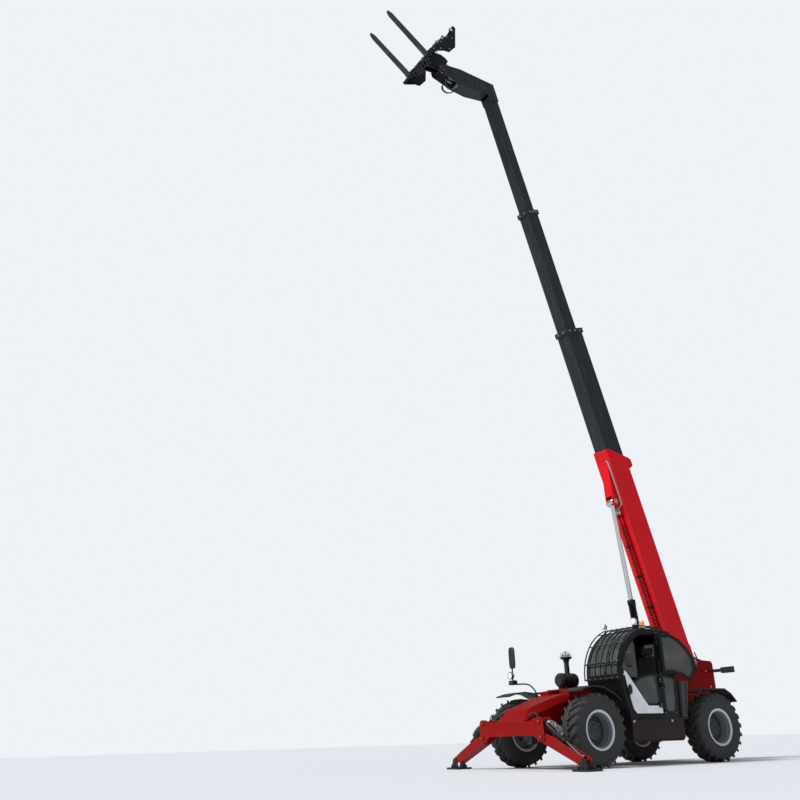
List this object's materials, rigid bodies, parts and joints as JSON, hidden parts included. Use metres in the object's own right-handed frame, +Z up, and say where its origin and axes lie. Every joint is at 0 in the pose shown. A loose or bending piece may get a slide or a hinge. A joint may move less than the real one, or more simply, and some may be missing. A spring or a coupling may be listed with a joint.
{
  "type": "telehandler",
  "caption": "Telescopic handler: four-wheel chassis with side cab, engine hood, front stabiliser legs, four-part telescoping boom raised steeply and a tilting fork carriage.",
  "frame": {"origin": "on the ground, at the middle of the whole machine's bounding box as it stands with its boom raised and out", "axes": "+X forwards, +Y to the machine's left, +Z up"},
  "size_m": [7.6658, 3.88, 15.919],
  "materials": {
    "red_paint": "gloss red paint, dusty and worn at edges",
    "grey_boom_paint": "satin dark grey paint",
    "black_paint": "satin black paint",
    "axle_paint": "dark grey painted casting, dusty",
    "tyre_rubber": "black rubber with dust",
    "wheel_paint": "satin grey paint",
    "chrome_rod": "hard chrome",
    "leg_paint": "satin dark grey paint",
    "black_steel": "worn black paint on steel",
    "white_panel": "gloss white moulding",
    "black_plastic": "grained black plastic",
    "seat_vinyl": "black vinyl",
    "hose_rubber": "spiral-wrapped black hose",
    "pane_glass": "clear tinted glass"
  },
  "bodies": {
    "chassis": {"chassis_frame": "red_paint", "stabiliser_beam": "red_paint", "front_axle": "axle_paint", "rear_axle": "axle_paint", "cab_shell": "black_paint", "cab_left_frame": "black_paint", "cab_glass": "pane_glass", "cab_guard": "black_paint", "operator_seat": "seat_vinyl", "dashboard": "black_plastic", "side_box": "black_paint", "cab_floor_carriers": "black_paint", "rear_tank": "black_paint", "fenders": "red_paint", "engine_bay": "red_paint", "engine_block": "axle_paint", "air_cleaner": "black_plastic", "mirrors": "black_paint", "roof_lamps": "black_plastic"},
    "boom": {"boom_outer": "red_paint", "boom_hoses": "hose_rubber"},
    "second_section": {"boom_second": "grey_boom_paint"},
    "third_section": {"boom_third": "grey_boom_paint"},
    "inner_section": {"boom_inner": "grey_boom_paint", "boom_head": "grey_boom_paint"},
    "carriage": {"carriage_frame": "black_paint", "forks": "black_steel"},
    "lift_barrel": {"lift_barrel": "grey_boom_paint"},
    "lift_rod": {"lift_rod": "chrome_rod"},
    "tilt_barrel": {"tilt_barrel": "leg_paint"},
    "tilt_rod": {"tilt_rod": "chrome_rod"},
    "lower_door": {"lower_door": "black_paint", "door_panel": "white_panel", "lower_door_glass": "pane_glass"},
    "upper_door": {"upper_door": "black_paint", "upper_door_glass": "pane_glass"},
    "hood": {"engine_hood": "black_paint"},
    "front_steering_rod": {"front_steering_rod": "chrome_rod"},
    "rear_steering_rod": {"rear_steering_rod": "chrome_rod"},
    "front_left_knuckle": {"front_left_knuckle": "axle_paint"},
    "front_left_wheel": {"front_left_rim": "wheel_paint", "front_left_tyre": "tyre_rubber"},
    "front_right_knuckle": {"front_right_knuckle": "axle_paint"},
    "front_right_wheel": {"front_right_rim": "wheel_paint", "front_right_tyre": "tyre_rubber"},
    "rear_left_knuckle": {"rear_left_knuckle": "axle_paint"},
    "rear_left_wheel": {"rear_left_rim": "wheel_paint", "rear_left_tyre": "tyre_rubber"},
    "rear_right_knuckle": {"rear_right_knuckle": "axle_paint"},
    "rear_right_wheel": {"rear_right_rim": "wheel_paint", "rear_right_tyre": "tyre_rubber"},
    "left_leg": {"left_leg": "leg_paint"},
    "left_foot": {"left_foot": "black_steel"},
    "left_leg_barrel": {"left_leg_barrel": "leg_paint"},
    "left_leg_rod": {"left_leg_rod": "chrome_rod"},
    "right_leg": {"right_leg": "leg_paint"},
    "right_foot": {"right_foot": "black_steel"},
    "right_leg_barrel": {"right_leg_barrel": "leg_paint"},
    "right_leg_rod": {"right_leg_rod": "chrome_rod"}
  },
  "joints": [
    {"name": "boom_lift", "type": "hinge", "parent": "chassis", "child": "boom", "pos_m": [-3.0905, 0, 1.87], "axis": [0, -1, 0], "range_deg": [-73.7, 0]},
    {"name": "boom_extend", "type": "slide", "parent": "boom", "child": "second_section", "axis": [0.2807, 0, 0.9598], "range_m": [-2.7, 0]},
    {"name": "third_extend", "type": "slide", "parent": "second_section", "child": "third_section", "axis": [0.2807, 0, 0.9598], "range_m": [-2.701, 0.001]},
    {"name": "inner_extend", "type": "slide", "parent": "third_section", "child": "inner_section", "axis": [0.2807, 0, 0.9598], "range_m": [-2.701, 0.001]},
    {"name": "carriage_tilt", "type": "hinge", "parent": "inner_section", "child": "carriage", "pos_m": [2.25825, 0, 15.04849], "axis": [0, -1, 0], "range_deg": [-73.3, 52.7]},
    {"name": "lift_barrel_swing", "type": "hinge", "parent": "chassis", "child": "lift_barrel", "pos_m": [-2.1405, 0, 0.75], "axis": [0, -1, 0], "range_deg": [-69.31, 0.2]},
    {"name": "lift_rod_slide", "type": "slide", "parent": "lift_barrel", "child": "lift_rod", "axis": [0.1014, 0, 0.9948], "range_m": [-1.7427, 0.003]},
    {"name": "tilt_barrel_swing", "type": "hinge", "parent": "inner_section", "child": "tilt_barrel", "pos_m": [0.99857, 0, 14.92716], "axis": [0, -1, 0], "range_deg": [-2.77, 2.04]},
    {"name": "tilt_rod_slide", "type": "slide", "parent": "tilt_barrel", "child": "tilt_rod", "axis": [0.9209, 0, 0.3898], "range_m": [-0.2858, 0.39635]},
    {"name": "left_leg_swing", "type": "hinge", "parent": "chassis", "child": "left_leg", "pos_m": [1.3895, 0.83, 0.535], "axis": [1, 0, 0], "range_deg": [0, 88]},
    {"name": "left_foot_tilt", "type": "hinge", "parent": "left_leg", "child": "left_foot", "pos_m": [1.3895, 1.77, 0.15], "axis": [1, 0, 0], "range_deg": [-25, 25]},
    {"name": "left_leg_barrel_swing", "type": "hinge", "parent": "chassis", "child": "left_leg_barrel", "pos_m": [1.3895, 0.8, 0.78], "axis": [1, 0, 0], "range_deg": [-0.2, 90.3]},
    {"name": "left_leg_rod_slide", "type": "slide", "parent": "left_leg_barrel", "child": "left_leg_rod", "axis": [0, 0.8409, -0.5412], "range_m": [-0.34452, 0.003]},
    {"name": "right_leg_swing", "type": "hinge", "parent": "chassis", "child": "right_leg", "pos_m": [1.3895, -0.83, 0.535], "axis": [-1, 0, 0], "range_deg": [0, 88]},
    {"name": "right_foot_tilt", "type": "hinge", "parent": "right_leg", "child": "right_foot", "pos_m": [1.3895, -1.77, 0.15], "axis": [-1, 0, 0], "range_deg": [-25, 25]},
    {"name": "right_leg_barrel_swing", "type": "hinge", "parent": "chassis", "child": "right_leg_barrel", "pos_m": [1.3895, -0.8, 0.78], "axis": [-1, 0, 0], "range_deg": [-0.2, 90.3]},
    {"name": "right_leg_rod_slide", "type": "slide", "parent": "right_leg_barrel", "child": "right_leg_rod", "axis": [0, -0.8409, -0.5412], "range_m": [-0.34452, 0.003]},
    {"name": "front_left_steer", "type": "hinge", "parent": "chassis", "child": "front_left_knuckle", "pos_m": [0.4595, 0.78, 0.612], "axis": [0, 0, 1], "range_deg": [-30, 30]},
    {"name": "front_left_spin", "type": "hinge", "parent": "front_left_knuckle", "child": "front_left_wheel", "pos_m": [0.4595, 1.01, 0.612], "axis": [0, 1, 0], "continuous": true},
    {"name": "front_right_steer", "type": "hinge", "parent": "chassis", "child": "front_right_knuckle", "pos_m": [0.4595, -0.78, 0.612], "axis": [0, 0, 1], "range_deg": [-30.1, 30.1]},
    {"name": "front_right_spin", "type": "hinge", "parent": "front_right_knuckle", "child": "front_right_wheel", "pos_m": [0.4595, -1.01, 0.612], "axis": [0, 1, 0], "continuous": true},
    {"name": "front_rod_slide", "type": "slide", "parent": "chassis", "child": "front_steering_rod", "axis": [0, 1, 0], "range_m": [-0.098, 0.098]},
    {"name": "rear_left_steer", "type": "hinge", "parent": "chassis", "child": "rear_left_knuckle", "pos_m": [-2.6105, 0.78, 0.612], "axis": [0, 0, 1], "range_deg": [-30, 30]},
    {"name": "rear_left_spin", "type": "hinge", "parent": "rear_left_knuckle", "child": "rear_left_wheel", "pos_m": [-2.6105, 1.01, 0.612], "axis": [0, 1, 0], "continuous": true},
    {"name": "rear_right_steer", "type": "hinge", "parent": "chassis", "child": "rear_right_knuckle", "pos_m": [-2.6105, -0.78, 0.612], "axis": [0, 0, 1], "range_deg": [-30.1, 30.1]},
    {"name": "rear_right_spin", "type": "hinge", "parent": "rear_right_knuckle", "child": "rear_right_wheel", "pos_m": [-2.6105, -1.01, 0.612], "axis": [0, 1, 0], "continuous": true},
    {"name": "rear_rod_slide", "type": "slide", "parent": "chassis", "child": "rear_steering_rod", "axis": [0, 1, 0], "range_m": [-0.098, 0.098]},
    {"name": "lower_door_hinge", "type": "hinge", "parent": "chassis", "child": "lower_door", "pos_m": [-1.1855, 1.185, 1.21], "axis": [0, 0, 1], "range_deg": [0, 80]},
    {"name": "upper_door_hinge", "type": "hinge", "parent": "chassis", "child": "upper_door", "pos_m": [-1.1855, 1.185, 1.9], "axis": [0, 0, 1], "range_deg": [-175, 0]},
    {"name": "hood_hinge", "type": "hinge", "parent": "chassis", "child": "hood", "pos_m": [-1.3405, -0.3763, 1.455], "axis": [-1, 0, 0], "range_deg": [0, 60]}
  ],
  "couplings": [
    {"joint": "third_extend", "follows": "boom_extend", "ratio": 1},
    {"joint": "inner_extend", "follows": "boom_extend", "ratio": 1},
    {"joint": "lift_barrel_swing", "follows": "boom_lift", "ratio": 0.93773},
    {"joint": "lift_rod_slide", "follows": "boom_lift", "m_per_rad": 1.3525},
    {"joint": "tilt_barrel_swing", "follows": "carriage_tilt", "ratio": 0.035},
    {"joint": "tilt_rod_slide", "follows": "carriage_tilt", "m_per_rad": -0.30746},
    {"joint": "left_leg_barrel_swing", "follows": "left_leg_swing", "ratio": 1.0239},
    {"joint": "left_leg_rod_slide", "follows": "left_leg_swing", "m_per_rad": -0.22236},
    {"joint": "right_leg_barrel_swing", "follows": "right_leg_swing", "ratio": 1.0239},
    {"joint": "right_leg_rod_slide", "follows": "right_leg_swing", "m_per_rad": -0.22236},
    {"joint": "front_right_steer", "follows": "front_left_steer", "ratio": 1},
    {"joint": "front_rod_slide", "follows": "front_left_steer", "m_per_rad": -0.18144},
    {"joint": "rear_right_steer", "follows": "rear_left_steer", "ratio": 1},
    {"joint": "rear_rod_slide", "follows": "rear_left_steer", "m_per_rad": 0.18144}
  ]
}
